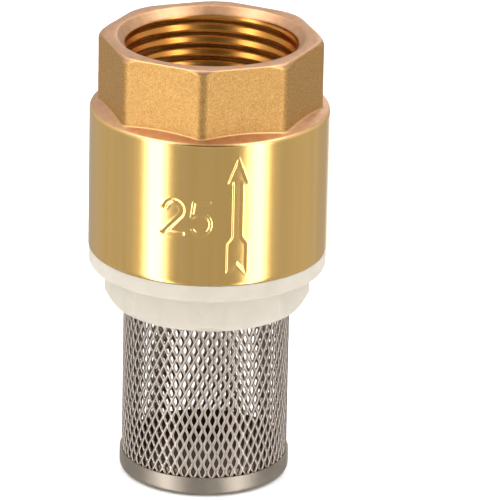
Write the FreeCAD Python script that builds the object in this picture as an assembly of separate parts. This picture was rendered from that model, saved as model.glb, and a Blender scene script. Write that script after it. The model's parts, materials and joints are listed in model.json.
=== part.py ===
"""Foot valve, 1 inch: brass body, nylon inlet collar, spring-closed poppet and steel strainer.

Millimetres. +Z is the flow direction. The origin is the centre of the strainer cap's underside,
so the valve stands on Z = 0. The front, with the flow arrow, faces -Y.
"""

import FreeCAD, Part
import math
import os

# ---------------------------------------------------------------- driving dimensions

# Pipe thread G1: the female thread's crest radius, root radius and pitch.
PIPE_CREST_R = 30.291 / 2
PIPE_ROOT_R = 33.249 / 2
PIPE_THREAD_LENGTH = 10.0
RELIEF_R = 16.7
RELIEF_HEIGHT = 2.2
RELIEF_SLOPE = 1.5

# Heights of the outside, from the ground up.
CAP_HEIGHT = 3.6
STRAINER_HEIGHT = 32.5
COLLAR_OCTAGON_HEIGHT = 6.85
FLANGE_HEIGHT = 3.2
SKIRT_HEIGHT = 26.15
SHOULDER_RISE = 1.0
HEAD_HEIGHT = 12.95

# Brass body.
SKIRT_R = 21.25
SHOULDER_R = 18.5
SKIRT_EDGE_RADIUS = 0.7
SKIRT_FOOT_CHAMFER = 0.3
HEAD_FLATS = 37.1
HEAD_CORNER_RADIUS = 2.6
HEAD_TURNED_R = 19.3
CHAMBER_R = 17.5

# Joint between body and collar, thread M37 x 1.5 shown at its female crest radius.
COLLAR_BORE_R = 17.69
COLLAR_BORE_DEPTH = 10.0
COLLAR_BORE_CHAMFER = 0.4
SPIGOT_R = COLLAR_BORE_R - 0.05
SPIGOT_LENGTH = 9.7
SPIGOT_CHAMFER = 0.6

# Nylon collar.
FLANGE_R = 21.1
FLANGE_EDGE_RADIUS = 0.7
COLLAR_FLATS = 34.0
COLLAR_CORNER_RADIUS = 1.2
COLLAR_FOOT_R = 17.0
COLLAR_FOOT_CHAMFER = 3.0
COLLAR_TURN_DEG = 4.0
INLET_R = 12.6
THROAT_TAPER_HEIGHT = 2.4
CUP_R = 15.6
CUP_CHAMFER = 0.4
SEAT_R = 10.5
SEAT_BELOW_RIM = 4.05
SEAT_LIP_WIDTH = 1.0
SEAT_LIP_HEIGHT = 0.8
ORING_SECTION = 1.6
ORING_GROOVE_R = 15.5
ORING_GROOVE_LIFT = 0.6
ORING_SIDE_GAP = 0.1
ORING_FLOOR_GAP = 0.05

# Strainer.
MESH_R = 14.85
MESH_THICKNESS = 0.4
CAP_R = 15.2
CAP_THICKNESS = 0.32
CAP_FLOOR = 0.5
CAP_EDGE_RADIUS = 1.1
RECESS_R = 14.95
RECESS_DEPTH = 5.2
MESH_END_GAP = 0.2
RING_THICKNESS = 0.6
RING_SHOWS = 0.3
FLOOR_THICKNESS = 0.35
FLOOR_EDGE_RADIUS = 0.9
FLOOR_WALL_HEIGHT = 4.7

# Poppet group.
LIFT = 6.0
STEM_R = 2.5
STEM_BELOW_SEAT = 14.75
STEM_SHOULDER_R = 4.4
STEM_SHOULDER_HEIGHT = 1.75
STEM_SHOULDER_CHAMFER = 0.3
STEM_CHAMFER = 0.5
DISC_R = 13.4
DISC_THICKNESS = 2.5
DISC_CHAMFER = 1.1
LOCATING_RING_HEIGHT = 0.7
LOCATING_RING_GAP = 0.3
LOCATING_RING_FOOT = 1.0
LOCATING_RING_TIP = 0.8
SEAL_R = 13.1
SEAL_THICKNESS = 2.0
SEAL_EDGE_RADIUS = 0.5
WASHER_R = 9.4
WASHER_THICKNESS = 1.0
WASHER_EDGE_RADIUS = 0.3
LOCK_WASHER_R = 4.4
LOCK_WASHER_THICKNESS = 1.0
LOCK_WASHER_SLOT = 0.8
NUT_FLATS = 8.0
NUT_HEIGHT = 3.2
NUT_CHAMFER = 0.5
CONTACT_GAP = 0.05
GUIDE_CLEARANCE = 0.05

# Closing spring: wire, mean radius and coils.
WIRE_R = 0.3
SPRING_R = 5.6
SPRING_COILS = 5.5
SPRING_SECTIONS_PER_COIL = 20
WIRE_SIDES = 8

# Guides.
GUIDE_RIM_INNER_R = 14.4
GUIDE_RIM_OUTER_R = CHAMBER_R - 0.08
GUIDE_RIM_HEIGHT = 2.5
GUIDE_HUB_R = 7.6
GUIDE_HUB_CHAMFER = 0.8
GUIDE_HUB_ABOVE_LIFTED_SPRING = 3.0
GUIDE_LEDGE_GAP = 0.1
GUIDE_POCKET_R = 6.3
GUIDE_TUBE_R = 4.2
GUIDE_FLOOR = 2.55
GUIDE_ENGAGEMENT = 3.0
GUIDE_ARMS = 3
ARM_WIDTH = 2.4
ARM_OVERLAP = 0.6
ARM_STEP = 0.4
ARM_TOP_DROP = 1.2
LOWER_ARM_WIDTH = 1.8
LOWER_ARM_TOP = 3.6
LOWER_ARM_RISE = 0.6
LOWER_HUB_LIFT = 4.6
LOWER_HUB_R = 4.2
LOWER_HUB_HEIGHT = 4.0

# Stamped marks on the skirt: the flow arrow and the nominal bore in millimetres.
MARK_DEPTH = 0.4
ARROW_AZIMUTH_DEG = 17.7
ARROW_TIP_DROP = 2.5
ARROW_HALF_WIDTH = 1.8
ARROW_SHAFT_HALF_WIDTH = 0.85
ARROW_HEAD_LENGTH = 4.6
ARROW_SHAFT_LENGTH = 9.9
ARROW_FLARE_LENGTH = 1.3
ARROW_TAIL_LENGTH = 5.6
ARROW_NOTCH = 2.0
NUMBER_AZIMUTH_DEG = -5.8
NUMBER_FOOT_DROP = 16.5
NUMBER_HEIGHT = 6.0
DIGIT_WIDTH = 3.4
DIGIT_STROKE = 0.8
DIGIT_SPACING = 4.9

# How far a cutter or a hidden overlap reaches past the surface that it belongs to.
MARGIN = 1.0

# ---------------------------------------------------------------- heights worked out from them

Z_COLLAR = STRAINER_HEIGHT
Z_FLANGE = Z_COLLAR + COLLAR_OCTAGON_HEIGHT
Z_BODY = Z_FLANGE + FLANGE_HEIGHT
Z_SHOULDER = Z_BODY + SKIRT_HEIGHT
Z_HEAD = Z_SHOULDER + SHOULDER_RISE
Z_TOP = Z_SHOULDER + HEAD_HEIGHT
Z_THREAD_TOP = Z_TOP - (PIPE_ROOT_R - PIPE_CREST_R)
Z_THREAD_FOOT = Z_THREAD_TOP - PIPE_THREAD_LENGTH
Z_LEDGE = Z_THREAD_FOOT - RELIEF_HEIGHT
Z_RIM = Z_BODY + SPIGOT_LENGTH
Z_SEAT = Z_RIM - SEAT_BELOW_RIM
Z_SEAL = Z_SEAT + CONTACT_GAP
Z_DISC = Z_SEAL + SEAL_THICKNESS
Z_SPRING = Z_DISC + DISC_THICKNESS
Z_WASHER = Z_SEAL - WASHER_THICKNESS
Z_NUT_TOP = Z_WASHER - LOCK_WASHER_THICKNESS
Z_STEM_SHOULDER = Z_SPRING + STEM_SHOULDER_HEIGHT
Z_GUIDE_TUBE = Z_STEM_SHOULDER + LIFT + CONTACT_GAP
Z_STEM_TOP = Z_GUIDE_TUBE + GUIDE_ENGAGEMENT
Z_GUIDE_TOP = Z_THREAD_FOOT - GUIDE_LEDGE_GAP
Z_SPRING_TOP = Z_GUIDE_TOP - GUIDE_FLOOR
Z_MESH_BOTTOM = CAP_EDGE_RADIUS + MESH_END_GAP
Z_MESH_TOP = Z_COLLAR + RECESS_DEPTH - MESH_END_GAP
Z_LOWER_HUB = Z_COLLAR + LOWER_HUB_LIFT

Z_AXIS = FreeCAD.Vector(0, 0, 1)
ORIGIN = FreeCAD.Vector(0, 0, 0)


# ---------------------------------------------------------------- helpers

def turned(profile):
    """Solid of revolution about Z from a closed list of (radius, height) points."""
    points = [FreeCAD.Vector(radius, 0, height) for radius, height in profile]
    face = Part.Face(Part.makePolygon(points + points[:1]))
    return face.revolve(ORIGIN, Z_AXIS, 360)


def ring(inner_r, outer_r, z_low, z_high):
    """Plain tube; a zero inner radius gives a full cylinder."""
    return turned([(inner_r, z_low), (outer_r, z_low), (outer_r, z_high), (inner_r, z_high)])


def prism(sides, across_flats, z_low, z_high, turn_deg=0.0):
    """Regular prism with a corner on -Y, turned towards +X by turn_deg."""
    corner_r = across_flats / 2 / math.cos(math.pi / sides)
    points = []
    for index in range(sides + 1):
        angle = math.radians(turn_deg - 90) + 2 * math.pi * index / sides
        points.append(FreeCAD.Vector(corner_r * math.cos(angle), corner_r * math.sin(angle), z_low))
    return Part.Face(Part.makePolygon(points)).extrude(Z_AXIS * (z_high - z_low))


def upright_edges(solid):
    """The straight edges parallel to Z."""
    found = []
    for edge in solid.Edges:
        low, high = edge.Vertexes[0].Point, edge.Vertexes[-1].Point
        if isinstance(edge.Curve, Part.Line) and abs((high - low).normalize().z) > 0.999:
            found.append(edge)
    return found


def round_edges_at(solid, radius, height):
    """The circular edges with this radius and height."""
    found = []
    for edge in solid.Edges:
        if not isinstance(edge.Curve, Part.Circle):
            continue
        same_height = abs(edge.Curve.Center.z - height) < 0.01
        if same_height and abs(edge.Curve.Radius - radius) < 0.01:
            found.append(edge)
    return found


def around(solid, count):
    """Copies of a solid, evenly spaced about Z."""
    copies = []
    for index in range(count):
        copy = solid.copy()
        copy.rotate(ORIGIN, Z_AXIS, 360 * index / count)
        copies.append(copy)
    return copies


def ball_through(radius, height, depth):
    """Ball through a circle of this radius and height, with its centre that far below the circle."""
    centre = FreeCAD.Vector(0, 0, height - depth)
    return Part.makeSphere(math.hypot(radius, depth), centre)


def web(profile, width):
    """Flat web along +X from a closed list of (radius, height) points."""
    points = [FreeCAD.Vector(radius, -width / 2, height) for radius, height in profile]
    return Part.Face(Part.makePolygon(points + points[:1])).extrude(FreeCAD.Vector(0, width, 0))


# ---------------------------------------------------------------- stamped marks

def stamp(outline, azimuth_deg):
    """Cutter for a mark on the skirt, from (across, height) points about the mark's own centre line."""
    front = -(SKIRT_R + MARGIN)
    points = [FreeCAD.Vector(across, front, height) for across, height in outline]
    face = Part.Face(Part.makePolygon(points + points[:1]))
    cutter = face.extrude(FreeCAD.Vector(0, MARGIN + MARK_DEPTH, 0))
    cutter.rotate(ORIGIN, Z_AXIS, azimuth_deg)
    return cutter


def flow_arrow():
    """Arrow that points up, with a notched tail."""
    tip = Z_SHOULDER - ARROW_TIP_DROP
    barbs = tip - ARROW_HEAD_LENGTH
    flare = barbs - ARROW_SHAFT_LENGTH
    tail = flare - ARROW_FLARE_LENGTH
    foot = tail - ARROW_TAIL_LENGTH
    half = [
        (0.0, tip),
        (ARROW_HALF_WIDTH, barbs),
        (ARROW_SHAFT_HALF_WIDTH, barbs),
        (ARROW_SHAFT_HALF_WIDTH, flare),
        (ARROW_HALF_WIDTH, tail),
        (ARROW_HALF_WIDTH, foot),
        (0.0, foot + ARROW_NOTCH),
    ]
    mirrored = [(-across, height) for across, height in reversed(half[1:-1])]
    return stamp(half + mirrored, ARROW_AZIMUTH_DEG)


def digit_strokes(digit, left, foot):
    """Bars of a squared-off 2 or 5, as (across, height) outlines."""
    right = left + DIGIT_WIDTH
    top = foot + NUMBER_HEIGHT
    middle = foot + (NUMBER_HEIGHT - DIGIT_STROKE) / 2
    strokes = []
    for height in (foot, middle, top - DIGIT_STROKE):
        strokes.append((left, right, height, height + DIGIT_STROKE))
    upper_side = right if digit == "2" else left + DIGIT_STROKE
    lower_side = left + DIGIT_STROKE if digit == "2" else right
    strokes.append((upper_side - DIGIT_STROKE, upper_side, middle, top))
    strokes.append((lower_side - DIGIT_STROKE, lower_side, foot, middle + DIGIT_STROKE))
    return strokes


def bore_number():
    """The digits 25, the nominal bore in millimetres."""
    foot = Z_SHOULDER - NUMBER_FOOT_DROP
    cutters = []
    for index, digit in enumerate("25"):
        left = (index - 0.5) * DIGIT_SPACING - DIGIT_WIDTH / 2
        for x_low, x_high, z_low, z_high in digit_strokes(digit, left, foot):
            outline = [(x_low, z_low), (x_high, z_low), (x_high, z_high), (x_low, z_high)]
            cutters.append(stamp(outline, NUMBER_AZIMUTH_DEG))
    return cutters[0].multiFuse(cutters[1:]).removeSplitter()


# ---------------------------------------------------------------- body and collar

def make_valve_body():
    """Brass casting: octagon head, sloping shoulder, turned skirt, pipe thread bore and chamber."""
    head = prism(8, HEAD_FLATS, Z_SHOULDER - MARGIN, Z_TOP)
    head = head.makeFillet(HEAD_CORNER_RADIUS, upright_edges(head))
    head = head.common(ball_through(HEAD_TURNED_R, Z_TOP, HEAD_TURNED_R))
    skirt = turned([
        (0, Z_BODY),
        (SKIRT_R - SKIRT_FOOT_CHAMFER, Z_BODY),
        (SKIRT_R, Z_BODY + SKIRT_FOOT_CHAMFER),
        (SKIRT_R, Z_HEAD),
        (0, Z_HEAD),
    ])
    dome_depth = (SKIRT_R ** 2 - SHOULDER_R ** 2 - SHOULDER_RISE ** 2) / (2 * SHOULDER_RISE)
    skirt = skirt.common(ball_through(SKIRT_R, Z_SHOULDER, dome_depth))
    skirt = skirt.makeFillet(SKIRT_EDGE_RADIUS, round_edges_at(skirt, SKIRT_R, Z_SHOULDER))
    bore = turned([
        (0, Z_BODY),
        (COLLAR_BORE_R + COLLAR_BORE_CHAMFER, Z_BODY),
        (COLLAR_BORE_R, Z_BODY + COLLAR_BORE_CHAMFER),
        (COLLAR_BORE_R, Z_BODY + COLLAR_BORE_DEPTH),
        (CHAMBER_R, Z_BODY + COLLAR_BORE_DEPTH),
        (CHAMBER_R, Z_LEDGE),
        (RELIEF_R, Z_LEDGE),
        (RELIEF_R, Z_THREAD_FOOT - RELIEF_SLOPE),
        (PIPE_CREST_R, Z_THREAD_FOOT),
        (PIPE_CREST_R, Z_THREAD_TOP),
        (PIPE_ROOT_R, Z_TOP),
        (0, Z_TOP),
    ])
    body = head.fuse(skirt).cut(bore)
    return body.cut(flow_arrow()).cut(bore_number())


def make_inlet_collar():
    """Nylon moulding: octagon, flange, spigot with seat lip, strainer recess and lower stem guide."""
    octagon = prism(8, COLLAR_FLATS, Z_COLLAR, Z_FLANGE, COLLAR_TURN_DEG)
    octagon = octagon.makeFillet(COLLAR_CORNER_RADIUS, upright_edges(octagon))
    chamfered_foot = turned([
        (0, Z_COLLAR),
        (COLLAR_FOOT_R, Z_COLLAR),
        (COLLAR_FOOT_R + COLLAR_FOOT_CHAMFER, Z_COLLAR + COLLAR_FOOT_CHAMFER),
        (COLLAR_FOOT_R + COLLAR_FOOT_CHAMFER, Z_FLANGE),
        (0, Z_FLANGE),
    ])
    outside = turned([
        (0, Z_FLANGE),
        (FLANGE_R, Z_FLANGE),
        (FLANGE_R, Z_BODY),
        (SPIGOT_R, Z_BODY),
        (SPIGOT_R, Z_RIM - SPIGOT_CHAMFER),
        (SPIGOT_R - SPIGOT_CHAMFER, Z_RIM),
        (CUP_R + CUP_CHAMFER, Z_RIM),
        (CUP_R, Z_RIM - CUP_CHAMFER),
        (CUP_R, Z_SEAT - SEAT_LIP_HEIGHT),
        (SEAT_R + 2 * SEAT_LIP_WIDTH, Z_SEAT - SEAT_LIP_HEIGHT),
        (SEAT_R + SEAT_LIP_WIDTH, Z_SEAT),
        (0, Z_SEAT),
    ])
    outside = outside.makeFillet(FLANGE_EDGE_RADIUS, round_edges_at(outside, FLANGE_R, Z_FLANGE))
    passage = turned([
        (0, Z_COLLAR),
        (RECESS_R, Z_COLLAR),
        (RECESS_R, Z_COLLAR + RECESS_DEPTH),
        (INLET_R, Z_COLLAR + RECESS_DEPTH),
        (INLET_R, Z_BODY),
        (SEAT_R, Z_BODY + THROAT_TAPER_HEIGHT),
        (SEAT_R, Z_SEAT),
        (0, Z_SEAT),
    ])
    groove_low = Z_BODY + ORING_GROOVE_LIFT
    groove_high = groove_low + ORING_SECTION + 2 * ORING_SIDE_GAP
    groove = ring(ORING_GROOVE_R, SPIGOT_R + MARGIN, groove_low, groove_high)
    shell = octagon.common(chamfered_foot).fuse(outside).cut(passage).cut(groove)
    hub_high = Z_LOWER_HUB + LOWER_HUB_HEIGHT
    arm_high = Z_LOWER_HUB + LOWER_ARM_TOP
    arm = web([
        (STEM_R + ARM_OVERLAP, Z_LOWER_HUB + ARM_STEP),
        (INLET_R + ARM_OVERLAP, Z_LOWER_HUB + ARM_STEP + LOWER_ARM_RISE),
        (INLET_R + ARM_OVERLAP, arm_high),
        (STEM_R + ARM_OVERLAP, arm_high),
    ], LOWER_ARM_WIDTH)
    spider = ring(0, LOWER_HUB_R, Z_LOWER_HUB, hub_high).multiFuse(around(arm, GUIDE_ARMS))
    stem_hole = ring(0, STEM_R + GUIDE_CLEARANCE, Z_LOWER_HUB - MARGIN, hub_high + MARGIN)
    return shell.fuse(spider).cut(stem_hole)


def make_body_seal():
    """Rubber O-ring in the groove above the collar's flange."""
    centre_r = ORING_GROOVE_R + ORING_FLOOR_GAP + ORING_SECTION / 2
    height = Z_BODY + ORING_GROOVE_LIFT + ORING_SIDE_GAP + ORING_SECTION / 2
    return Part.makeTorus(centre_r, ORING_SECTION / 2, FreeCAD.Vector(0, 0, height), Z_AXIS)


# ---------------------------------------------------------------- poppet group

def make_stem():
    """Brass spindle with the shoulder that carries the disc and stops the lift."""
    foot = Z_SEAT - STEM_BELOW_SEAT
    return turned([
        (0, foot),
        (STEM_R - STEM_CHAMFER, foot),
        (STEM_R, foot + STEM_CHAMFER),
        (STEM_R, Z_SPRING),
        (STEM_SHOULDER_R, Z_SPRING),
        (STEM_SHOULDER_R, Z_STEM_SHOULDER - STEM_SHOULDER_CHAMFER),
        (STEM_SHOULDER_R - STEM_SHOULDER_CHAMFER, Z_STEM_SHOULDER),
        (STEM_R, Z_STEM_SHOULDER),
        (STEM_R, Z_STEM_TOP - STEM_CHAMFER),
        (STEM_R - STEM_CHAMFER, Z_STEM_TOP),
        (0, Z_STEM_TOP),
    ])


def make_poppet_disc():
    """Nylon disc with a chamfered upper rim and a low ring that keeps the spring in place."""
    locating_r = SPRING_R + WIRE_R + LOCATING_RING_GAP
    locating_top = Z_SPRING + LOCATING_RING_HEIGHT
    return turned([
        (STEM_R, Z_DISC),
        (DISC_R, Z_DISC),
        (DISC_R, Z_SPRING - DISC_CHAMFER),
        (DISC_R - DISC_CHAMFER, Z_SPRING),
        (locating_r + LOCATING_RING_FOOT, Z_SPRING),
        (locating_r + LOCATING_RING_TIP, locating_top),
        (locating_r, locating_top),
        (locating_r, Z_SPRING),
        (STEM_R, Z_SPRING),
    ])


def make_poppet_seal():
    """Rubber ring that closes on the collar's lip."""
    seal = ring(STEM_R, SEAL_R, Z_SEAL, Z_DISC)
    return seal.makeFillet(SEAL_EDGE_RADIUS, round_edges_at(seal, SEAL_R, Z_SEAL))


def make_seal_washer():
    """Stainless washer under the rubber ring."""
    washer = ring(STEM_R, WASHER_R, Z_WASHER, Z_SEAL)
    return washer.makeFillet(WASHER_EDGE_RADIUS, round_edges_at(washer, WASHER_R, Z_WASHER))


def make_lock_washer():
    """Split spring washer, pressed flat by the nut."""
    washer = ring(STEM_R, LOCK_WASHER_R, Z_NUT_TOP, Z_WASHER)
    slot = Part.makeBox(LOCK_WASHER_R + MARGIN, LOCK_WASHER_SLOT, LOCK_WASHER_THICKNESS)
    slot.translate(FreeCAD.Vector(0, -LOCK_WASHER_SLOT / 2, Z_NUT_TOP))
    return washer.cut(slot)


def make_stem_nut():
    """Brass hexagon nut with chamfered corners."""
    low = Z_NUT_TOP - NUT_HEIGHT
    corner_r = NUT_FLATS / 2 / math.cos(math.pi / 6)
    chamfered = turned([
        (STEM_R, low),
        (NUT_FLATS / 2, low),
        (corner_r, low + NUT_CHAMFER),
        (corner_r, Z_NUT_TOP),
        (STEM_R, Z_NUT_TOP),
    ])
    return prism(6, NUT_FLATS, low, Z_NUT_TOP).common(chamfered)


def flat_face(corners):
    """Flat face with straight edges through its corners."""
    return Part.Face(Part.makePolygon(corners + corners[:1]))


def make_closing_spring():
    """Compression spring at the length it has with the valve closed: one even helix, in short facets."""
    low = Z_SPRING + WIRE_R
    high = Z_SPRING_TOP - WIRE_R
    count = round(SPRING_COILS * SPRING_SECTIONS_PER_COIL)
    rings = []
    for step in range(count + 1):
        turn = math.tau * SPRING_COILS * step / count
        height = low + (high - low) * step / count
        ring = []
        for side in range(WIRE_SIDES):
            spread = math.tau * side / WIRE_SIDES
            reach = SPRING_R + WIRE_R * math.cos(spread)
            rise = WIRE_R * math.sin(spread)
            ring.append(FreeCAD.Vector(reach * math.cos(turn), reach * math.sin(turn), height + rise))
        rings.append(ring)
    faces = [flat_face(rings[0]), flat_face(rings[-1])]
    for before, after in zip(rings, rings[1:]):
        for side in range(WIRE_SIDES):
            beside = (side + 1) % WIRE_SIDES
            faces.append(flat_face([before[side], before[beside], after[beside]]))
            faces.append(flat_face([before[side], after[beside], after[side]]))
    shell = Part.Shell(faces)
    shell.sewShape()
    spring = Part.Solid(shell)
    if spring.Volume < 0:
        spring.reverse()
    return spring


def make_upper_guide():
    """Nylon spider: rim under the body's ledge, three arms, hub with spring pocket and guide tube."""
    rim_low = Z_LEDGE - GUIDE_RIM_HEIGHT
    rim = ring(GUIDE_RIM_INNER_R, GUIDE_RIM_OUTER_R, rim_low, Z_LEDGE)
    hub_low = Z_SPRING + LIFT + GUIDE_HUB_ABOVE_LIFTED_SPRING
    arm = web([
        (GUIDE_POCKET_R + ARM_OVERLAP, hub_low + ARM_STEP),
        (GUIDE_RIM_INNER_R + ARM_OVERLAP, rim_low + ARM_STEP),
        (GUIDE_RIM_INNER_R + ARM_OVERLAP, Z_LEDGE),
        (GUIDE_RIM_INNER_R, Z_LEDGE),
        (GUIDE_POCKET_R + ARM_OVERLAP, Z_GUIDE_TOP - ARM_TOP_DROP),
    ], ARM_WIDTH)
    hub = turned([
        (STEM_R + GUIDE_CLEARANCE, Z_GUIDE_TUBE),
        (GUIDE_TUBE_R, Z_GUIDE_TUBE),
        (GUIDE_TUBE_R, Z_SPRING_TOP),
        (GUIDE_POCKET_R, Z_SPRING_TOP),
        (GUIDE_POCKET_R, hub_low),
        (GUIDE_HUB_R, hub_low),
        (GUIDE_HUB_R, Z_GUIDE_TOP - GUIDE_HUB_CHAMFER),
        (GUIDE_HUB_R - GUIDE_HUB_CHAMFER, Z_GUIDE_TOP),
        (STEM_R + GUIDE_CLEARANCE, Z_GUIDE_TOP),
    ])
    return rim.multiFuse(around(arm, GUIDE_ARMS) + [hub])


# ---------------------------------------------------------------- strainer

def make_strainer_mesh():
    """Expanded steel tube, as a plain thin wall of the same size."""
    return ring(MESH_R - MESH_THICKNESS, MESH_R, Z_MESH_BOTTOM, Z_MESH_TOP)


def pressed_cup(outer_r, z_low, z_high, edge_radius, wall, floor):
    """Sheet cup, open at the top, with a rounded lower edge inside and out."""
    cup = ring(0, outer_r, z_low, z_high)
    cup = cup.makeFillet(edge_radius, round_edges_at(cup, outer_r, z_low))
    hollow_r = outer_r - wall
    hollow = ring(0, hollow_r, z_low + floor, z_high + MARGIN)
    hollow = hollow.makeFillet(edge_radius - wall, round_edges_at(hollow, hollow_r, z_low + floor))
    return cup.cut(hollow)


def make_strainer_cap():
    """Pressed cup that closes the strainer's lower end."""
    return pressed_cup(CAP_R, 0, CAP_HEIGHT, CAP_EDGE_RADIUS, CAP_THICKNESS, CAP_FLOOR)


def make_strainer_floor():
    """Inner cup: its wall presses the mesh's lower edge against the cap."""
    wall_r = MESH_R - MESH_THICKNESS
    sheet = FLOOR_THICKNESS
    return pressed_cup(wall_r, CAP_FLOOR, FLOOR_WALL_HEIGHT, FLOOR_EDGE_RADIUS, sheet, sheet)


def make_strainer_ring():
    """Steel ferrule inside the mesh's top edge."""
    outer_r = MESH_R - MESH_THICKNESS
    return ring(outer_r - RING_THICKNESS, outer_r, Z_COLLAR - RING_SHOWS, Z_MESH_TOP)


SUB_PARTS = {
    "valve_body": make_valve_body,
    "inlet_collar": make_inlet_collar,
    "body_seal": make_body_seal,
    "stem": make_stem,
    "poppet_disc": make_poppet_disc,
    "poppet_seal": make_poppet_seal,
    "seal_washer": make_seal_washer,
    "lock_washer": make_lock_washer,
    "stem_nut": make_stem_nut,
    "closing_spring": make_closing_spring,
    "upper_guide": make_upper_guide,
    "strainer_mesh": make_strainer_mesh,
    "strainer_cap": make_strainer_cap,
    "strainer_floor": make_strainer_floor,
    "strainer_ring": make_strainer_ring,
}


def main():
    os.makedirs("parts", exist_ok=True)
    for name, make in SUB_PARTS.items():
        shape = make()
        solids = shape.Solids
        if len(solids) != 1 or not solids[0].isValid():
            print("check", name, "solids", len(solids))
        shape = solids[0] if len(solids) == 1 else shape
        shape.exportStep(os.path.join("parts", name + ".step"))
        box = shape.BoundBox
        print(f"{name:16s} volume {shape.Volume / 1000:8.3f} cm3  z {box.ZMin:7.2f} {box.ZMax:7.2f}")


main()
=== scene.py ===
"""Foot valve: the looks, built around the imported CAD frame. Lengths are in millimetres until new_piece()."""

import json
import math

import bpy
import numpy as np
from mathutils import Matrix, Vector


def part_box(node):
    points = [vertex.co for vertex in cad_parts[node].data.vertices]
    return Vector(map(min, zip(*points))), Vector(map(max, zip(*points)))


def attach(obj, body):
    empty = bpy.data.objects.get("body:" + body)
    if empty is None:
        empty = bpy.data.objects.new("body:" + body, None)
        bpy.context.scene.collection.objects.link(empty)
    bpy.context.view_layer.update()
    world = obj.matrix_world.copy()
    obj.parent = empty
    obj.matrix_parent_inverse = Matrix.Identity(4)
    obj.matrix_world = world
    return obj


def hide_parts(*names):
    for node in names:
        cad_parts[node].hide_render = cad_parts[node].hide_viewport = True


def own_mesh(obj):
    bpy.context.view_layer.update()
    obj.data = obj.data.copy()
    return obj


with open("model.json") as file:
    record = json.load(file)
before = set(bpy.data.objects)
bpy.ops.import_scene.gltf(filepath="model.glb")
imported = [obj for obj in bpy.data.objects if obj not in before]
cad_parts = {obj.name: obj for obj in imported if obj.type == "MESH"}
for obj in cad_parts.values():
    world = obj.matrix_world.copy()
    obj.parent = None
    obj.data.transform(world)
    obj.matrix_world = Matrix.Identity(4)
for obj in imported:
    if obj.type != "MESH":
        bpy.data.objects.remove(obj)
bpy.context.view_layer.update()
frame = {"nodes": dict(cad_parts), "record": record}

MM = 0.001


def box_mm(node):
    """Lowest and highest corner of a CAD node, in millimetres."""
    low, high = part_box(node)
    return np.array(low) / MM, np.array(high) / MM


# ---------------------------------------------------------------- sizes, from the frame and the object

BODY_LOW, BODY_HIGH = box_mm("valve_body")
MESH_LOW, MESH_HIGH = box_mm("strainer_mesh")
SPRING_LOW, SPRING_HIGH = box_mm("closing_spring")
PIPE_MOUNT = next(m for m in frame["record"]["mounts"] if m["name"] == "pipe_thread")

Z_BODY = BODY_LOW[2]
Z_TOP = BODY_HIGH[2]
SKIRT_R = BODY_HIGH[0]
SKIRT_HEIGHT = 26.15
Z_SHOULDER = Z_BODY + SKIRT_HEIGHT

# Octagon head and the shoulder that it stands on.
HEAD_INRADIUS = 18.55
HEAD_CORNER_RADIUS = 2.6
HEAD_TURNED_R = 19.3
SHOULDER_R = 18.5
SHOULDER_RISE = 1.0
SKIRT_EDGE_RADIUS = 0.7
SKIRT_FOOT_CHAMFER = 0.3
SKIRT_FOOT_EASE = 0.1
SHOULDER_FILLET = 0.35
CHAMFER_HEIGHT = 1.5
CHAMFER_SOFTNESS = 0.5
RIM_EASE = 0.06
RIM_EASE_DROP = 0.07
RIM_FLAT_INSET = 0.22

# Widths over which the cast skin gives way to machined brass, and how uneven the cast skin is.
CAST_FADE = 0.3
CAST_FADE_START = 0.3
CHAMFER_FADE = 0.5
CAST_UNEVENNESS = 0.02
CAST_WAVES = [(9.0, 0.9, 0.0), (17.0, -1.7, 1.3), (31.0, 2.3, 0.4)]

# Threads: G1 in the head, a fine thread between skirt and collar.
PIPE_CREST_R = PIPE_MOUNT["dims"]["r_mm"]
PIPE_THREAD_LENGTH = PIPE_MOUNT["dims"]["length_mm"]
PIPE_PITCH = 25.4 / 11
PIPE_DEPTH = 0.6403 * PIPE_PITCH
PIPE_ROOT_R = PIPE_CREST_R + PIPE_DEPTH
BORE_MOUTH_R = PIPE_ROOT_R + 0.1
BORE_MOUTH_SOFTNESS = 0.1

# The groove is cut with soft flanks, to this share of the full depth.
PIPE_CUT_SHARE = 0.32
RELIEF_R = 16.7
RELIEF_HEIGHT = 2.2
RELIEF_SLOPE = 0.4
CHAMBER_R = 17.5
CHAMBER_MARGIN = 0.3
COLLAR_BORE_R = 17.69
COLLAR_BORE_DEPTH = 10.0
COLLAR_PITCH = 1.5
COLLAR_THREAD_DEPTH = 0.75
COLLAR_MOUTH_CHAMFER = 0.4
THREAD_START = 0.7
THREAD_FADE = 1.2
THREAD_CREST_SHARE = 0.13
THREAD_ROOT_SHARE = 0.1
THREAD_SOFTNESS = 0.15

# Stamped marks: height of the arrow's tip and of the number's foot below the shoulder.
MARK_DEPTH = 0.11
MARK_WALL = 0.26
BURR_HEIGHT = 0.03
BURR_PLACE = 0.12
BURR_WIDTH = 0.2
ARROW_AZIMUTH = 17.7
ARROW_TIP_DROP = 2.5
NUMBER_AZIMUTH = -5.8
NUMBER_FOOT_DROP = 16.5
NUMBER_HEIGHT = 6.0
DIGIT_WIDTH = 3.4
DIGIT_SPACING = 4.9
DIGIT_STROKE = 0.75

# Expanded steel: cells round the tube and up it, and the strands between the holes.
CELLS_AROUND = 56
CELLS_UP = 11
MESH_THICKNESS = 0.45
HOLE_HALF_WIDTH = 0.43
HOLE_HALF_HEIGHT = 1.07
HOLE_ROUNDNESS = 1.2
CELL_POINTS = 12
STRAND_LEAN = 0.05
STRAND_CROWN = 0.1

# Columns of the body mesh, in degrees: everywhere, across the marks, and at the octagon's corners.
COLUMN_STEP = 2.0
MARK_COLUMN_STEP = 0.38
MARK_COLUMNS = (-17.5, 25.5)
CORNER_COLUMN_STEP = 0.75
CORNER_REACH = 4.5
COLUMN_GAP = 0.2

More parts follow.
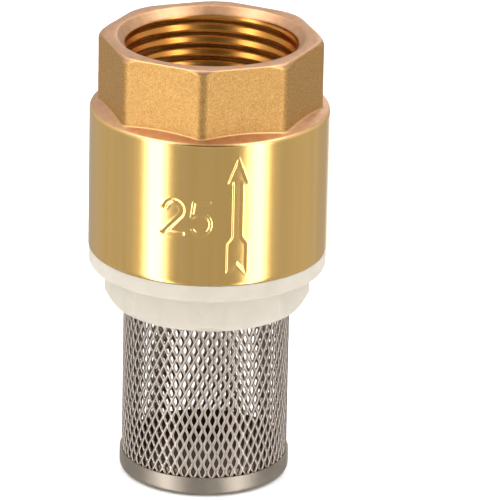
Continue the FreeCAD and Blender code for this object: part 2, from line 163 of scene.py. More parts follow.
# Rows of the body mesh, in millimetres, from one to the next.
MARK_ROW = 0.21
MARK_ROWS_START = 0.9
EDGE_ROWS = 6
EDGE_FADE_ROWS = 4
EDGE_FADE_START = 0.5
SHOULDER_ROW = 0.08
SHOULDER_ROWS_START = 0.06
SHOULDER_ROWS_PAST = 0.4
FACE_ROWS = 12
FACE_ROWS_START = 0.6
CHAMFER_ROW = 0.12
CHAMFER_ROWS_END = 0.1
RIM_SHARES = (0.33, 0.67)
PIPE_ROW = 0.17
PIPE_ROWS_START = 0.08
COLLAR_ROW = 0.35
COLLAR_ROWS_START = 0.05
COLLAR_ROWS_END = 0.5

# Closing spring.
WIRE_R = 0.3
SPRING_TURNS = 5.5
SPRING_END_TURNS = 0.9
SPRING_END_RISE = 2.1 * WIRE_R
SPRING_STEPS_PER_TURN = 40
WIRE_SIDES = 12

# Camera, set to look as the photograph does.
CAMERA_AZIMUTH = 4.0
CAMERA_ELEVATION = 21.0
CAMERA_ROLL = 1.05
CAMERA_DISTANCE = 966.0
CAMERA_LENS = 390.7
CAMERA_SHIFT = (0.0852, 0.0064)
CAMERA_TARGET_DROP = 28.0


# ---------------------------------------------------------------- small mathematics

def smooth_step(value):
    """0 below 0, 1 above 1, smooth between."""
    value = np.clip(value, 0.0, 1.0)
    return value * value * (3.0 - 2.0 * value)


def soft_max(a, b, width):
    """The larger of two values, with the crease between them rounded over width."""
    share = np.clip(0.5 + 0.5 * (a - b) / width, 0.0, 1.0)
    return b + (a - b) * share + width * share * (1.0 - share)


def soft_min(a, b, width):
    return -soft_max(-a, -b, width)


def thread_height(azimuth, height, pitch):
    """How deep a right-hand thread's groove is there: 0 on the crest and 1 in the root."""
    phase = (height / pitch - azimuth / math.tau) % 1.0
    ramp = 1.0 - np.abs(2.0 * phase - 1.0)
    flank = (ramp - THREAD_CREST_SHARE) / (1.0 - THREAD_CREST_SHARE - THREAD_ROOT_SHARE)
    return soft_max(soft_min(flank, 1.0, THREAD_SOFTNESS), 0.0, THREAD_SOFTNESS)


def waves(azimuth, height):
    """Gentle unevenness of a casting, from -1 to 1."""
    total = 0.0
    for around, up, start in CAST_WAVES:
        total = total + np.sin(around * azimuth + up * height + start)
    return total / len(CAST_WAVES)


def octagon_r(azimuth):
    """Distance from the axis to the head's octagon, which has a rounded corner on -Y."""
    half_face = math.pi / 8
    off_face = np.abs(azimuth % (2 * half_face) - half_face)
    off_corner = half_face - off_face
    centre = (HEAD_INRADIUS - HEAD_CORNER_RADIUS) / math.cos(half_face)
    flat = HEAD_INRADIUS / np.cos(off_face)
    reach = HEAD_CORNER_RADIUS ** 2 - (centre * np.sin(off_corner)) ** 2
    corner = centre * np.cos(off_corner) + np.sqrt(np.maximum(reach, 0.0))
    on_corner = off_corner < math.atan2(HEAD_CORNER_RADIUS * math.sin(half_face),
                                        centre + HEAD_CORNER_RADIUS * math.cos(half_face))
    return np.where(on_corner, corner, flat)


# ---------------------------------------------------------------- stamped marks, as distances to outlines

def segment_distance(x, z, start, end):
    """Distance from each point to a straight segment."""
    run = np.array(end) - np.array(start)
    along = ((x - start[0]) * run[0] + (z - start[1]) * run[1]) / run.dot(run)
    along = np.clip(along, 0.0, 1.0)
    return np.hypot(x - start[0] - along * run[0], z - start[1] - along * run[1])


def inside_outline(x, z, outline):
    """Whether each point lies inside a closed outline."""
    inside = np.zeros(x.shape, bool)
    for start, end in zip(outline, outline[1:] + outline[:1]):
        if start[1] == end[1]:
            continue
        crosses = (start[1] > z) != (end[1] > z)
        at = start[0] + (end[0] - start[0]) * (z - start[1]) / (end[1] - start[1])
        inside ^= crosses & (x < at)
    return inside


def arrow_distance(x, z):
    """Signed distance to the flow arrow, with its tip at z = 0; negative inside."""
    half = [(0.0, 0.0), (1.8, -4.6), (0.85, -4.6), (0.85, -14.5), (1.8, -15.8), (1.8, -21.4), (0.0, -19.4)]
    outline = half + [(-across, height) for across, height in reversed(half[1:-1])]
    distance = np.full(x.shape, 1e3)
    for start, end in zip(outline, outline[1:] + outline[:1]):
        distance = np.minimum(distance, segment_distance(x, z, start, end))
    return np.where(inside_outline(x, z, outline), -distance, distance)


def arc_points(centre, radii, start_deg, end_deg, count):
    """Points along an elliptical arc."""
    points = []
    for index in range(count + 1):
        angle = math.radians(start_deg + (end_deg - start_deg) * index / count)
        points.append((centre[0] + radii[0] * math.cos(angle), centre[1] + radii[1] * math.sin(angle)))
    return points


def digit_path(digit):
    """Centre line of a 2 or a 5, in a box DIGIT_WIDTH wide and NUMBER_HEIGHT tall."""
    wide, tall = DIGIT_WIDTH, NUMBER_HEIGHT
    bowl = wide / 2
    if digit == "2":
        head = arc_points((bowl, tall - bowl), (bowl, bowl), 165, -35, 10)
        return head + [(0.0, 0.0), (wide, 0.0)]
    low_bowl = tall * 0.32
    belly = arc_points((bowl * 0.95, low_bowl), (bowl * 1.05, low_bowl), 125, -145, 12)
    return [(wide * 0.93, tall), (wide * 0.12, tall), (0.0, tall * 0.52)] + belly


def number_distance(x, z):
    """Signed distance to the number 25, centred on x = 0 with its foot at z = 0."""
    distance = np.full(x.shape, 1e3)
    for index, digit in enumerate("25"):
        left = (index - 0.5) * DIGIT_SPACING - DIGIT_WIDTH / 2
        path = [(left + across, height) for across, height in digit_path(digit)]
        for start, end in zip(path, path[1:]):
            distance = np.minimum(distance, segment_distance(x, z, start, end))
    return distance - DIGIT_STROKE / 2


def mark_relief(azimuth, height):
    """How far the stamped marks move the skirt's surface: down inside them, up in the burr round them."""
    across_arrow = (azimuth - math.radians(ARROW_AZIMUTH)) * SKIRT_R
    across_number = (azimuth - math.radians(NUMBER_AZIMUTH)) * SKIRT_R
    arrow = arrow_distance(across_arrow, height - (Z_SHOULDER - ARROW_TIP_DROP))
    number = number_distance(across_number, height - (Z_SHOULDER - NUMBER_FOOT_DROP))
    distance = np.minimum(arrow, number)
    burr = BURR_HEIGHT * np.exp(-((distance - BURR_PLACE) / BURR_WIDTH) ** 2)
    return burr - (MARK_DEPTH + BURR_HEIGHT) * smooth_step(-distance / MARK_WALL)


# ---------------------------------------------------------------- meshes

def new_piece(name, points, faces, body, materials):
    """Smooth-shaded mesh object from points in millimetres, riding on a CAD body."""
    mesh = bpy.data.meshes.new(name)
    mesh.from_pydata((np.asarray(points) * MM).tolist(), [], faces)
    mesh.validate()
    mesh.polygons.foreach_set("use_smooth", np.ones(len(mesh.polygons), bool))
    piece = bpy.data.objects.new(name, mesh)
    bpy.context.scene.collection.objects.link(piece)
    for material in materials:
        mesh.materials.append(material)
    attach(piece, body)
    return piece


def loop_faces(row_count, column_count, closed_rows):
    """Quads of a grid that closes on itself round its columns and, if asked, over its rows."""
    faces = []
    for row in range(row_count if closed_rows else row_count - 1):
        low = row * column_count
        high = (row + 1) % row_count * column_count
        for column in range(column_count):
            beside = (column + 1) % column_count
            faces.append((low + column, low + beside, high + beside, high + column))
    return faces


def body_columns():
    """Azimuths of the body's mesh columns: fine across the marks, medium at the octagon's corners."""
    azimuths = list(np.arange(-180.0, 180.0, COLUMN_STEP))
    azimuths += list(np.arange(*MARK_COLUMNS, MARK_COLUMN_STEP))
    for corner in range(-180, 180, 45):
        azimuths += list(corner + np.arange(-CORNER_REACH, CORNER_REACH + 0.1, CORNER_COLUMN_STEP))
    wrapped = sorted((azimuth + 180.0) % 360.0 - 180.0 for azimuth in azimuths)
    kept = wrapped[:1]
    for azimuth in wrapped[1:]:
        if azimuth - kept[-1] > COLUMN_GAP:
            kept.append(azimuth)
    return np.radians(np.array(kept))


def body_rows(azimuth):
    """Rows of (radius, height, cast, inner, faced): up the outside, over the rim and down the bore."""
    rows = []
    zero = np.zeros_like(azimuth)

    def add(radius, height, cast=0.0, inner=False, faced=0.0):
        rows.append((radius + zero, height + zero, cast + zero, inner, faced + zero))

    add(SKIRT_R - SKIRT_FOOT_CHAMFER, Z_BODY)
    add(SKIRT_R - SKIRT_FOOT_EASE, Z_BODY + SKIRT_FOOT_EASE)
    add(SKIRT_R, Z_BODY + SKIRT_FOOT_CHAMFER)

    slope = math.atan2(SHOULDER_RISE, SKIRT_R - SHOULDER_R)
    edge_turn = math.pi / 2 - slope
    edge_drop = SKIRT_EDGE_RADIUS * math.tan(edge_turn / 2)
    edge_centre = (SKIRT_R - SKIRT_EDGE_RADIUS, Z_SHOULDER - edge_drop)
    for height in np.arange(Z_BODY + MARK_ROWS_START, edge_centre[1], MARK_ROW):
        add(SKIRT_R + mark_relief(azimuth, height), height)
    for step in range(EDGE_ROWS + 1):
        turn = edge_turn * step / EDGE_ROWS
        radius = edge_centre[0] + SKIRT_EDGE_RADIUS * math.cos(turn)
        faced = smooth_step(step / EDGE_FADE_ROWS - EDGE_FADE_START)
        add(radius, edge_centre[1] + SKIRT_EDGE_RADIUS * math.sin(turn), faced=faced)

    octagon = octagon_r(azimuth)
    shoulder_start = edge_centre[1] + SKIRT_EDGE_RADIUS * math.sin(edge_turn)
    shoulder_end = Z_SHOULDER + SHOULDER_RISE + SHOULDER_ROWS_PAST
    for height in np.arange(shoulder_start + SHOULDER_ROWS_START, shoulder_end, SHOULDER_ROW):
        cone = SKIRT_R - (height - Z_SHOULDER) / math.tan(slope)
        cast = smooth_step((octagon - cone) / CAST_FADE + CAST_FADE_START)
        add(soft_max(octagon, cone, SHOULDER_FILLET), height, cast, faced=1.0 - cast)
    chamfer_low = Z_TOP - CHAMFER_HEIGHT
    for height in np.linspace(Z_SHOULDER + SHOULDER_RISE + FACE_ROWS_START, chamfer_low, FACE_ROWS):
        add(octagon + CAST_UNEVENNESS * waves(azimuth, height), height, 1.0)
    for height in np.arange(chamfer_low + CHAMFER_ROW, Z_TOP - CHAMFER_ROWS_END, CHAMFER_ROW):
        limit = HEAD_TURNED_R + (Z_TOP - height)
        cast = smooth_step((limit - octagon) / CHAMFER_FADE)
        add(soft_min(octagon, limit, CHAMFER_SOFTNESS), height, cast, faced=1.0 - cast)
    rim = soft_min(octagon, HEAD_TURNED_R, CHAMFER_SOFTNESS)
    add(rim - RIM_EASE, Z_TOP - RIM_EASE_DROP, faced=1.0)
    rim_flat = rim - RIM_FLAT_INSET
    add(rim_flat, Z_TOP, faced=1.0)
    for share in RIM_SHARES:
        add(rim_flat * (1 - share) + BORE_MOUTH_R * share, Z_TOP, faced=1.0)
    add(BORE_MOUTH_R, Z_TOP, faced=1.0)

    thread_foot = Z_TOP - PIPE_DEPTH - PIPE_THREAD_LENGTH
    for height in np.arange(Z_TOP - PIPE_ROWS_START, thread_foot, -PIPE_ROW):
        below_top = Z_TOP - height
        chamfer = PIPE_ROOT_R - below_top
        fade_in = smooth_step((below_top - THREAD_START) / THREAD_FADE)
        cut = PIPE_CUT_SHARE * PIPE_DEPTH * thread_height(azimuth, height, PIPE_PITCH)
        groove = PIPE_CREST_R + cut * fade_in
        in_thread = below_top > THREAD_START + THREAD_FADE / 2
        add(soft_max(groove, chamfer, BORE_MOUTH_SOFTNESS), height, 0.0, in_thread, 1.0)
    ledge = thread_foot - RELIEF_HEIGHT
    collar_top = Z_BODY + COLLAR_BORE_DEPTH
    for radius, height in (
        (RELIEF_R, thread_foot - RELIEF_SLOPE),
        (RELIEF_R, ledge),
        (CHAMBER_R, ledge),
        (CHAMBER_R, ledge - CHAMBER_MARGIN),
        (CHAMBER_R, collar_top + CHAMBER_MARGIN),
        (CHAMBER_R, collar_top),
    ):
        add(radius, height, 0.0, True)
    for height in np.arange(collar_top - COLLAR_ROWS_START, Z_BODY + COLLAR_ROWS_END, -COLLAR_ROW):
        groove = COLLAR_THREAD_DEPTH * thread_height(azimuth, height, COLLAR_PITCH)
        add(COLLAR_BORE_R + groove, height, 0.0, True)
    add(COLLAR_BORE_R + COLLAR_MOUTH_CHAMFER, Z_BODY, 0.0, True)
    return rows


def make_valve_body(outside, inside):
    """Brass body in one closed mesh, with both threads, the rounded octagon and the stamped marks."""
    azimuth = body_columns()
    rows = body_rows(azimuth)
    radius = np.array([row[0] for row in rows])
    height = np.array([row[1] for row in rows])
    points = np.stack([radius * np.sin(azimuth), -radius * np.cos(azimuth), height], axis=-1)
    faces = loop_faces(len(rows), len(azimuth), True)
    materials = [outside, inside]
    piece = new_piece("valve_body_brass", points.reshape(-1, 3), faces, "valve", materials)
    inner = np.repeat([int(row[3]) for row in rows], len(azimuth))
    piece.data.polygons.foreach_set("material_index", inner)
    for name, place in (("cast", 2), ("faced", 4)):
        attribute = piece.data.attributes.new(name, "FLOAT", "POINT")
        attribute.data.foreach_set("value", np.array([row[place] for row in rows]).ravel())
    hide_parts("valve_body")


def cell_ring(half_width, half_height, roundness):
    """Points of a rounded diamond, from the right-hand corner anticlockwise."""
    power = 2.0 / roundness
    ring = []
    for index in range(CELL_POINTS):
        turn = math.tau * index / CELL_POINTS
        cosine, sine = round(math.cos(turn), 9), round(math.sin(turn), 9)
        across = math.copysign(abs(cosine) ** power, cosine) * half_width
        up = math.copysign(abs(sine) ** power, sine) * half_height
        ring.append((across, up))
    return ring


def make_expanded_tube(material):
    """Expanded steel rolled into a tube: a diamond hole in each cell, crowned strands between."""
    outer_r = MESH_HIGH[0]
    cell_turn = math.tau / CELLS_AROUND
    cell_rise = (MESH_HIGH[2] - MESH_LOW[2]) / CELLS_UP
    cell_width = outer_r * cell_turn
    edge = cell_ring(cell_width / 2, cell_rise / 2, 1.0)
    hole = cell_ring(HOLE_HALF_WIDTH, HOLE_HALF_HEIGHT, HOLE_ROUNDNESS)
    layers = [
        (edge, outer_r, 0.0),
        (hole, outer_r - STRAND_CROWN, STRAND_LEAN),
        (hole, outer_r - MESH_THICKNESS + STRAND_CROWN, STRAND_LEAN),
        (edge, outer_r - MESH_THICKNESS, 0.0),
    ]
    cells = {(2 * column + row % 2, row) for row in range(2 * CELLS_UP - 1) for column in range(CELLS_AROUND)}
    neighbours = [(1, 1), (-1, 1), (-1, -1), (1, -1)]
    points, faces, index_of = [], [], {}

    def vertex(cell, ring_point, radius, lean):
        across, up = ring_point
        radius = radius - lean * math.copysign(min(abs(across) / HOLE_HALF_WIDTH, 1.0), across)
        azimuth = cell[0] * cell_turn / 2 + across / outer_r
        height = MESH_LOW[2] + (cell[1] + 1) * cell_rise / 2 + up
        point = (radius * math.sin(azimuth), -radius * math.cos(azimuth), height)
        key = tuple(round(value, 4) + 0.0 for value in point)
        if key not in index_of:
            index_of[key] = len(points)
            points.append(point)
        return index_of[key]

    for cell in sorted(cells):
        rings = [[vertex(cell, point, radius, lean) for point in ring] for ring, radius, lean in layers]
        for outer, inner in zip(rings, rings[1:]):
            for index in range(CELL_POINTS):
                beside = (index + 1) % CELL_POINTS
                faces.append((outer[index], outer[beside], inner[beside], inner[index]))
        for quarter, (side, up) in enumerate(neighbours):
            beside_cell = ((cell[0] + side) % (2 * CELLS_AROUND), cell[1] + up)
            if beside_cell in cells:
                continue
            for index in range(quarter * CELL_POINTS // 4, (quarter + 1) * CELL_POINTS // 4):
                beside = (index + 1) % CELL_POINTS
                faces.append((rings[3][index], rings[3][beside], rings[0][beside], rings[0][index]))
    piece = new_piece("strainer_expanded_steel", points, faces, "valve", [material])
    reach = np.hypot(*np.array(points).T[:2])
    # inside rises through the sheet's thickness; the material paints shade with it on the tube's inner face.
    inside = piece.data.attributes.new("inside", "FLOAT", "POINT")
    inside.data.foreach_set("value", smooth_step((outer_r - reach) / MESH_THICKNESS))
    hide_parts("strainer_mesh")


def make_spring(material):
    """Coil spring with closed ends, on a mesh of its own."""
    radius = SPRING_HIGH[0] - WIRE_R
    low = SPRING_LOW[2] + WIRE_R
    high = SPRING_HIGH[2] - WIRE_R
    count = int(SPRING_TURNS * SPRING_STEPS_PER_TURN)
    active = SPRING_TURNS - 2 * SPRING_END_TURNS
    points = []
    for step in range(count + 1):
        turn = SPRING_TURNS * step / count
        closed_low = min(turn / SPRING_END_TURNS, 1.0) * SPRING_END_RISE
        closed_high = max((turn - SPRING_TURNS + SPRING_END_TURNS) / SPRING_END_TURNS, 0.0) * SPRING_END_RISE
        open_share = min(max((turn - SPRING_END_TURNS) / active, 0.0), 1.0)
        height = low + closed_low + closed_high + open_share * (high - low - 2 * SPRING_END_RISE)
        azimuth = math.tau * turn
        for side in range(WIRE_SIDES):
            spread = math.tau * side / WIRE_SIDES
            reach = radius + WIRE_R * math.cos(spread)
            rise = WIRE_R * math.sin(spread)
            points.append((reach * math.sin(azimuth), -reach * math.cos(azimuth), height + rise))
    faces = loop_faces(count + 1, WIRE_SIDES, False)
    faces = [tuple(reversed(face)) for face in faces]
    faces.append(tuple(range(WIRE_SIDES)))
    faces.append(tuple(reversed(range(count * WIRE_SIDES, (count + 1) * WIRE_SIDES))))
    piece = new_piece("closing_spring_wire", points, faces, "valve", [material])
    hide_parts("closing_spring")
    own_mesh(piece)


# ---------------------------------------------------------------- materials

class Shader:
    """A Principled material and short calls for the nodes that feed it."""

    def __init__(self, name, color, metallic, roughness, **sockets):
        self.material = bpy.data.materials.new(name)
        self.material.use_nodes = True
        self.tree = self.material.node_tree
        self.principled = self.tree.nodes["Principled BSDF"]
        self.set("Base Color", (*color, 1.0))
        self.set("Metallic", metallic)
        self.set("Roughness", roughness)
        for socket, value in sockets.items():
            self.set(socket.replace("_", " "), value)
        self.place = self.node("ShaderNodeTexCoord").outputs["Object"]

    def set(self, socket, value):
        self.principled.inputs[socket].default_value = value

    def node(self, kind, **settings):
        node = self.tree.nodes.new(kind)
        for name, value in settings.items():
            setattr(node, name, value)
        return node

    def link(self, source, target):
        self.tree.links.new(source, target)

    def feed(self, socket, source):
        self.link(source, self.principled.inputs[socket])

    def scaled(self, scale):
        """Object coordinates times (x, y, z), per metre."""
        node = self.node("ShaderNodeMapping")
        node.inputs["Scale"].default_value = scale
        self.link(self.place, node.inputs["Vector"])
        return node.outputs["Vector"]

    def noise(self, scale, detail=3.0, roughness=0.55):
        node = self.node("ShaderNodeTexNoise")
        node.inputs["Scale"].default_value = 1.0
        node.inputs["Detail"].default_value = detail
        node.inputs["Roughness"].default_value = roughness
        self.link(self.scaled(scale), node.inputs["Vector"])
        return node.outputs["Fac"]

    def ramp(self, source, stops):
        """Colour or grey ramp from (place, colour) stops."""
        node = self.node("ShaderNodeValToRGB")
        node.color_ramp.elements[0].position = stops[0][0]
        node.color_ramp.elements[0].color = (*stops[0][1], 1.0)
        node.color_ramp.elements[1].position = stops[-1][0]
        node.color_ramp.elements[1].color = (*stops[-1][1], 1.0)
        for place, color in stops[1:-1]:
            node.color_ramp.elements.new(place).color = (*color, 1.0)
        self.link(source, node.inputs["Fac"])
        return node.outputs["Color"]

    def range(self, source, low, high):
        """A 0-1 value moved into low to high."""
        node = self.node("ShaderNodeMapRange")
        node.inputs["To Min"].default_value = low
        node.inputs["To Max"].default_value = high
        self.link(source, node.inputs["Value"])
        return node.outputs["Result"]

    def mix(self, share, first, second, color=False):
        node = self.node("ShaderNodeMix", data_type="RGBA" if color else "FLOAT")
        spots = (6, 7, 2) if color else (2, 3, 0)
        self.link(share, node.inputs[0])
        for source, spot in ((first, spots[0]), (second, spots[1])):
            if isinstance(source, (int, float, tuple)):
                node.inputs[spot].default_value = source
            else:
                self.link(source, node.inputs[spot])
        return node.outputs[spots[2]]

    def bump(self, height, depth_mm, strength=1.0, below=None):
        node = self.node("ShaderNodeBump")
        node.inputs["Strength"].default_value = strength
        node.inputs["Distance"].default_value = depth_mm * MM
        self.link(height, node.inputs["Height"])
        if below is not None:
            self.link(below, node.inputs["Normal"])
        return node.outputs["Normal"]


def brass_outside():
    """Turned brass with tool lines and an uneven tone whose vertical streaks are painted reflection, a
    sand-cast skin where cast is 1 and redder brass where faced is 1.
    """
    shader = Shader("brass_outside", (0.80, 0.56, 0.20), 1.0, 0.25)
    cast = shader.node("ShaderNodeAttribute", attribute_name="cast").outputs["Fac"]
    faced = shader.node("ShaderNodeAttribute", attribute_name="faced").outputs["Fac"]
    grains = shader.noise((3400, 3400, 3400), 3.0, 0.6)
    lumps = shader.noise((700, 700, 700), 2.0)
    lines = shader.noise((60, 60, 14000), 2.0)
    # Uneven tone of the turned brass, stretched into vertical streaks: painted reflection streaks.
    patches = shader.noise((420, 420, 12), 2.0)
    turned_color_with_painted_streaks = shader.ramp(patches, [(0.3, (0.84, 0.525, 0.165)), (0.7, (0.88, 0.58, 0.215))])
    faced_color = shader.ramp(lumps, [(0.3, (0.46, 0.25, 0.13)), (0.7, (0.54, 0.31, 0.175))])
    cast_color = shader.ramp(grains, [
        (0.3, (0.43, 0.235, 0.066)),
        (0.5, (0.55, 0.315, 0.107)),
        (0.7, (0.65, 0.395, 0.155)),
    ])
    machined_color = shader.mix(faced, turned_color_with_painted_streaks, faced_color, color=True)
    shader.feed("Base Color", shader.mix(cast, machined_color, cast_color, color=True))
    machined_roughness = shader.mix(faced, shader.range(lines, 0.16, 0.26), shader.range(lumps, 0.36, 0.46))
    cast_roughness = shader.range(lumps, 0.5, 0.62)
    shader.feed("Roughness", shader.mix(cast, machined_roughness, cast_roughness))
    line_bump = shader.bump(lines, 0.004)
    shader.feed("Normal", shader.bump(shader.mix(cast, 0.0, grains), 0.035, 1.0, line_bump))
    return shader.material


def brass_thread():
    """Cut thread and bore: smooth, a little darker, with cutting lines along the thread."""
    shader = Shader("brass_thread", (0.62, 0.28, 0.06), 1.0, 0.24)
    patches = shader.noise((220, 220, 220), 3.0)
    shader.feed("Base Color", shader.ramp(patches, [(0.3, (0.48, 0.20, 0.038)), (0.7, (0.60, 0.28, 0.068))]))
    lines = shader.noise((80, 80, 9000), 2.0)
    shader.feed("Roughness", shader.range(lines, 0.2, 0.34))
    shader.feed("Normal", shader.bump(lines, 0.004))
    return shader.material


def turned_brass_small():
    """Brass of the stem and its nut."""
    shader = Shader("brass_turned_small", (0.78, 0.58, 0.30), 1.0, 0.28)
    patches = shader.noise((300, 300, 300), 2.0)
    shader.feed("Base Color", shader.ramp(patches, [(0.3, (0.74, 0.53, 0.26)), (0.7, (0.82, 0.62, 0.34))]))
    lines = shader.noise((150, 150, 16000), 2.0)
    shader.feed("Roughness", shader.range(lines, 0.22, 0.36))
    shader.feed("Normal", shader.bump(lines, 0.003))
    return shader.material


def white_nylon():
    """Natural nylon: milky, slightly translucent, with a soft moulded skin."""
    shader = Shader(
        "white_nylon", (0.53, 0.485, 0.41), 0.0, 0.42,
        Subsurface_Weight=0.35, Subsurface_Scale=0.002, Subsurface_Radius=(1.0, 0.85, 0.6),
    )
    clouds = shader.noise((260, 260, 260), 3.0)
    shader.feed("Base Color", shader.ramp(clouds, [(0.3, (0.51, 0.462, 0.382)), (0.7, (0.56, 0.512, 0.438))]))
    skin = shader.noise((1800, 1800, 1800), 3.0)
    shader.feed("Roughness", shader.range(skin, 0.34, 0.5))
    shader.feed("Normal", shader.bump(skin, 0.02))
    return shader.material


def steel(name, color, roughness, grain_scale, bump_mm):
    """Stainless steel with a grain of the given scale."""
    shader = Shader(name, color, 1.0, roughness)
    grain = shader.noise(grain_scale, 3.0)
    darker = tuple(value * 0.86 for value in color)
    lighter = tuple(min(value * 1.1, 1.0) for value in color)
    shader.feed("Base Color", shader.ramp(grain, [(0.3, darker), (0.7, lighter)]))
    shader.feed("Roughness", shader.range(grain, roughness - 0.07, roughness + 0.09))
    shader.feed("Normal", shader.bump(grain, bump_mm))
    return shader.material


def expanded_steel():
    """Strands of the strainer: bright on the outer side, darker and browner where inside is 1, which is
    painted shade on the tube's inner face.
    """
    shader = Shader("stainless_mesh", (0.54, 0.47, 0.415), 1.0, 0.3)
    inside = shader.node("ShaderNodeAttribute", attribute_name="inside").outputs["Fac"]
    grain = shader.noise((900, 900, 900), 3.0)
    outer_color = shader.ramp(grain, [(0.3, (0.37, 0.315, 0.27)), (0.7, (0.47, 0.405, 0.35))])
    # Inner face colour: painted shade, darker and browner than the outer face.
    inner_painted_shade_color = shader.ramp(grain, [(0.3, (0.26, 0.205, 0.165)), (0.7, (0.35, 0.285, 0.24))])
    shader.feed("Base Color", shader.mix(inside, outer_color, inner_painted_shade_color, color=True))
    shader.feed("Roughness", shader.range(grain, 0.24, 0.4))
    shader.feed("Normal", shader.bump(grain, 0.01))
    return shader.material


def black_rubber():
    """Nitrile rubber: dark, matt, faintly mottled."""
    shader = Shader("black_rubber", (0.025, 0.025, 0.027), 0.0, 0.6)
    mottle = shader.noise((1500, 1500, 1500), 3.0)
    mottled_color = shader.ramp(mottle, [(0.3, (0.018, 0.018, 0.02)), (0.7, (0.034, 0.034, 0.036))])
    shader.feed("Base Color", mottled_color)
    shader.feed("Roughness", shader.range(mottle, 0.5, 0.7))
    shader.feed("Normal", shader.bump(mottle, 0.01))
    return shader.material


# ---------------------------------------------------------------- studio

def direction(azimuth_deg, elevation_deg):
    """Unit vector towards an azimuth, from -Y towards +X, and an elevation."""
    azimuth, elevation = math.radians(azimuth_deg), math.radians(elevation_deg)
    flat = math.cos(elevation)
    return Vector((math.sin(azimuth) * flat, -math.cos(azimuth) * flat, math.sin(elevation)))


def make_camera():
    """Camera at the photograph's angle, aimed at the valve's axis."""
    data = bpy.data.cameras.new("camera")
    data.lens = CAMERA_LENS
    data.shift_x, data.shift_y = CAMERA_SHIFT
    data.clip_end = 10.0
    camera = bpy.data.objects.new("camera", data)
    bpy.context.scene.collection.objects.link(camera)
    target = Vector((0, 0, (Z_SHOULDER - CAMERA_TARGET_DROP) * MM))
    away = direction(CAMERA_AZIMUTH, CAMERA_ELEVATION)
    turn = away.to_track_quat("Z", "Y") @ Matrix.Rotation(math.radians(CAMERA_ROLL), 3, "Z").to_quaternion()
    camera.rotation_euler = turn.to_euler()
    camera.location = target + away * CAMERA_DISTANCE * MM
    bpy.context.scene.camera = camera


def make_floor():
    """Plain pale floor that metal doesn't mirror, so that its sides mirror the studio instead."""
    size = 3.0
    corners = [(-size, -size, 0), (size, -size, 0), (size, size, 0), (-size, size, 0)]
    mesh = bpy.data.meshes.new("floor")
    mesh.from_pydata(corners, [], [(0, 1, 2, 3)])
    floor = bpy.data.objects.new("floor", mesh)
    bpy.context.scene.collection.objects.link(floor)
    floor.visible_glossy = False
    shader = Shader("pale_floor", (0.93, 0.93, 0.93), 0.0, 0.8)
    shade = shader.noise((6, 6, 6), 2.0)
    shader.feed("Base Color", shader.ramp(shade, [(0.3, (0.925, 0.925, 0.925)), (0.7, (0.94, 0.94, 0.94))]))
    mesh.materials.append(shader.material)


# Soft boxes that stand round the valve: azimuth from the front towards the right, half width and
# soft edge in degrees, and strength.
SOFT_BOXES = [
    (-48.0, 7.0, 6.0, 4.6),
    (-60.0, 8.0, 16.0, 0.18),
    (51.5, 6.5, 5.0, 4.6),
    (62.0, 6.0, 14.0, 0.1),
    (-112.0, 14.0, 22.0, 0.08),
    (112.0, 14.0, 22.0, 0.1),
    (171.0, 3.0, 5.0, 1.2),
]

# Soft boxes above: azimuth, elevation, radius and soft edge in degrees, and strength.
OVERHEAD_BOXES = [
    (135.0, 64.0, 8.0, 7.0, 4.2),
    (100.0, 63.0, 8.0, 7.0, 4.2),
    (71.0, 54.0, 7.0, 7.0, 3.6),
    (-135.0, 64.0, 8.0, 7.0, 4.2),
    (-100.0, 63.0, 8.0, 7.0, 4.2),
    (-71.0, 54.0, 7.0, 7.0, 3.6),
]
STUDIO_LOW = 0.5
STUDIO_HIGH = 0.9

# How much darker the studio is above the camera than elsewhere, and how bright straight above.
STUDIO_DARK_SIDE = 0.88
STUDIO_DARK_OVERHEAD = 0.2
STUDIO_ZENITH = 0.2

# Where each of these begins and ends: azimuths in degrees, and heights as the sine of the elevation.
HORIZON_BAND = (-0.25, 0.6)
AHEAD_BAND = (35.0, 75.0)
ABOVE_BAND = (0.1, 0.5)
OVERHEAD_BAND = (0.84, 0.95)
ZENITH_BAND = (0.95, 0.985)
SOFT_BOX_BAND = (0.75, 0.9)


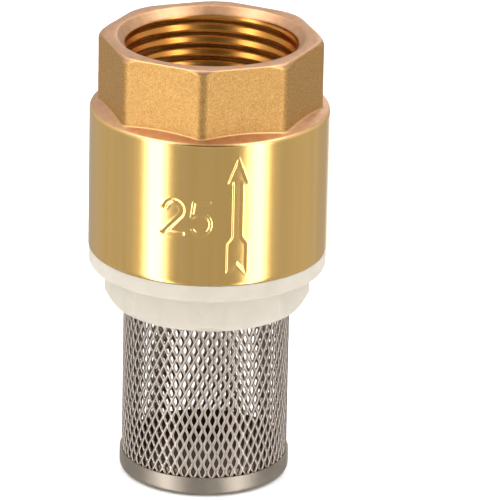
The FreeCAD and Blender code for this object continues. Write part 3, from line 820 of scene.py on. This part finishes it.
def make_studio():
    """Surroundings: grey below, white above but darker over the camera, and the soft boxes."""
    world = bpy.data.worlds.new("studio")
    bpy.context.scene.world = world
    world.use_nodes = True
    tree = world.node_tree
    nodes, links = tree.nodes, tree.links
    background = nodes["Background"]
    background.inputs["Color"].default_value = (1.0, 1.0, 1.0, 1.0)
    place = nodes.new("ShaderNodeTexCoord").outputs["Generated"]
    split = nodes.new("ShaderNodeSeparateXYZ")
    links.new(place, split.inputs[0])

    def math_node(operation, *values):
        node = nodes.new("ShaderNodeMath")
        node.operation = operation
        for spot, value in enumerate(values):
            if isinstance(value, (int, float)):
                node.inputs[spot].default_value = value
            else:
                links.new(value, node.inputs[spot])
        return node.outputs[0]

    def ranged(value, start, end, low, high):
        node = nodes.new("ShaderNodeMapRange")
        node.interpolation_type = "SMOOTHSTEP"
        for spot, number in zip(("From Min", "From Max", "To Min", "To Max"), (start, end, low, high)):
            node.inputs[spot].default_value = number
        links.new(value, node.inputs["Value"])
        return node.outputs["Result"]

    azimuth = math_node("ARCTAN2", split.outputs["X"], math_node("MULTIPLY", split.outputs["Y"], -1.0))
    light = ranged(split.outputs["Z"], *HORIZON_BAND, STUDIO_LOW, STUDIO_HIGH)
    ahead = ranged(math_node("ABSOLUTE", azimuth), *map(math.radians, AHEAD_BAND), 1.0, 0.0)
    above = ranged(split.outputs["Z"], *ABOVE_BAND, 0.0, STUDIO_DARK_SIDE)
    overhead = ranged(split.outputs["Z"], *OVERHEAD_BAND, 1.0, STUDIO_DARK_OVERHEAD)
    shade = math_node("MULTIPLY", ahead, math_node("MULTIPLY", above, overhead))
    light = math_node("MULTIPLY", light, math_node("SUBTRACT", 1.0, shade))
    light = math_node("MULTIPLY", light, ranged(split.outputs["Z"], *ZENITH_BAND, 1.0, STUDIO_ZENITH))
    reach = ranged(math_node("ABSOLUTE", split.outputs["Z"]), *SOFT_BOX_BAND, 1.0, 0.0)
    for centre, half_width, soft_edge, strength in SOFT_BOXES:
        turned = math_node("WRAP", math_node("SUBTRACT", azimuth, math.radians(centre)), math.pi, -math.pi)
        off = math_node("ABSOLUTE", turned)
        shape = ranged(off, math.radians(half_width), math.radians(half_width + soft_edge), strength, 0.0)
        light = math_node("ADD", light, math_node("MULTIPLY", shape, reach))
    for azimuth_deg, elevation_deg, radius_deg, soft_edge, strength in OVERHEAD_BOXES:
        toward = nodes.new("ShaderNodeVectorMath")
        toward.operation = "DOT_PRODUCT"
        links.new(place, toward.inputs[0])
        toward.inputs[1].default_value = direction(azimuth_deg, elevation_deg)
        off = math_node("ARCCOSINE", toward.outputs["Value"])
        shape = ranged(off, math.radians(radius_deg), math.radians(radius_deg + soft_edge), strength, 0.0)
        light = math_node("ADD", light, shape)
    links.new(light, background.inputs["Strength"])


# ---------------------------------------------------------------- the scene

def dress(nodes, material):
    """Gives CAD nodes that are shown as they are a material."""
    for name in nodes:
        mesh = frame["nodes"][name].data
        mesh.materials.clear()
        mesh.materials.append(material)


def main():
    bpy.context.scene.view_settings.view_transform = "Standard"
    make_camera()
    make_floor()
    make_studio()

    nylon = white_nylon()
    mesh_steel = expanded_steel()
    sheet_steel = steel("stainless_sheet", (0.37, 0.32, 0.26), 0.44, (260, 260, 260), 0.01)
    # Near-black steel on the strainer floor: painted shade for the dark band low inside the strainer.
    painted_shade_steel = steel("stainless_stained", (0.16, 0.12, 0.09), 0.38, (260, 260, 260), 0.01)
    spring_steel = steel("spring_steel", (0.66, 0.66, 0.66), 0.25, (1200, 1200, 1200), 0.004)
    dress(["inlet_collar", "poppet_disc", "upper_guide"], nylon)
    dress(["body_seal", "poppet_seal"], black_rubber())
    dress(["stem", "stem_nut"], turned_brass_small())
    dress(["seal_washer", "lock_washer", "strainer_cap", "strainer_ring"], sheet_steel)
    dress(["strainer_floor"], painted_shade_steel)

    make_valve_body(brass_outside(), brass_thread())
    make_expanded_tube(mesh_steel)
    make_spring(spring_steel)


main()
